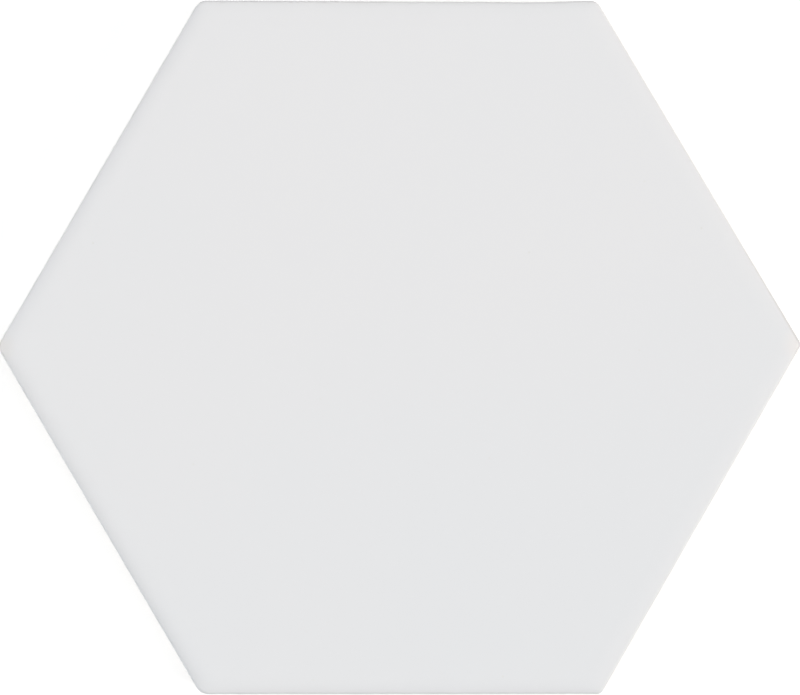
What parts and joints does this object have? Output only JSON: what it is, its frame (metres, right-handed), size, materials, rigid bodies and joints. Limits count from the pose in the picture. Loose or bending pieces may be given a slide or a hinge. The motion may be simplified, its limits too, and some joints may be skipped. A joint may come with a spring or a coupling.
{
  "type": "hexagon tile",
  "caption": "Plain hexagonal ceramic tile with softly rounded edges, a white satin-matt glazed face and a keyed unglazed back for bedding.",
  "frame": {"origin": "centre of the hexagon, on the plane of the ribs and land of the back, which is what the tile lies on", "axes": "+X from corner to corner, +Y across two flats, +Z out of the glazed face"},
  "size_m": [0.116, 0.101, 0.009],
  "materials": {
    "white_glaze": "satin"
  },
  "bodies": {
    "root": {"hexagon_tile": "white_glaze"}
  },
  "joints": []
}
